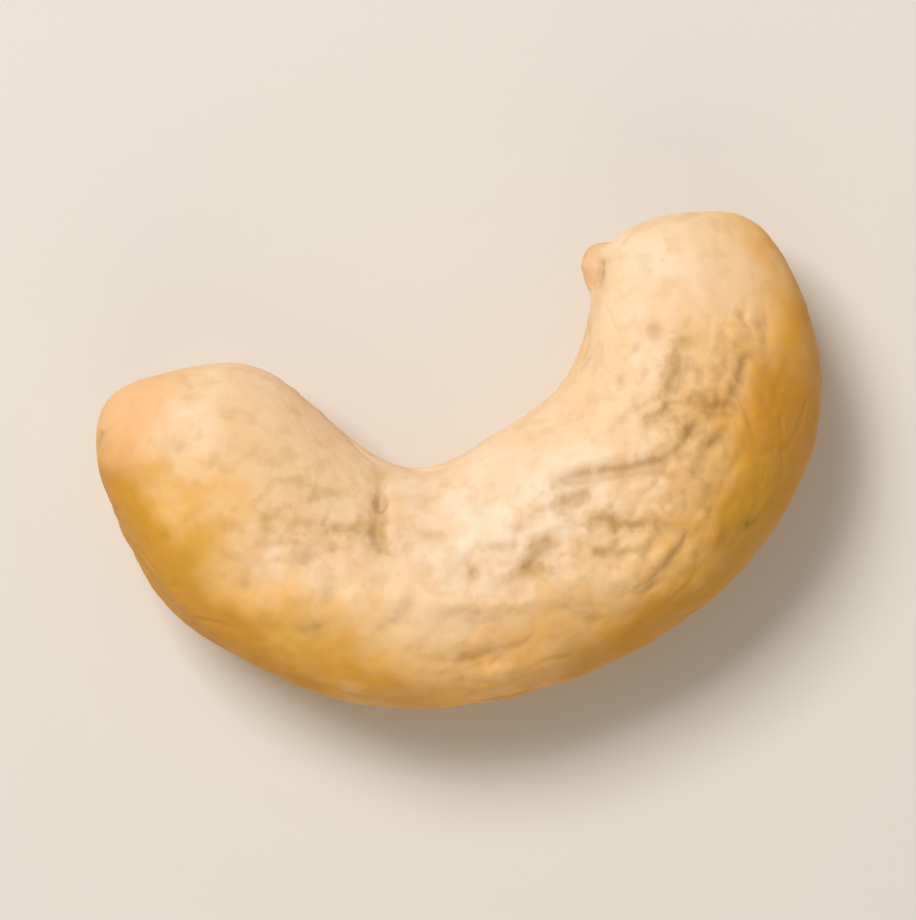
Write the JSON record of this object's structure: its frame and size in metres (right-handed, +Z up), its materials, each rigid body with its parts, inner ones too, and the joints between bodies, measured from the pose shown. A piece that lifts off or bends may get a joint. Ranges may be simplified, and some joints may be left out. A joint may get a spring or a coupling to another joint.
{
  "type": "cashew nut",
  "caption": "Whole shelled cashew kernel, a plump crescent with a blunt end, a root tip and a seam round its rim, lying on its side.",
  "frame": {"origin": "on the surface that the kernel rests on, under the middle of its length and width", "axes": "+X along its length from the blunt end to the root end, +Y out of its hollow side, +Z up"},
  "size_m": [0.031, 0.0212, 0.0102],
  "materials": {
    "kernel": "satin, cream to tan nut flesh"
  },
  "bodies": {
    "root": {"cashew_kernel": "kernel"}
  },
  "joints": []
}
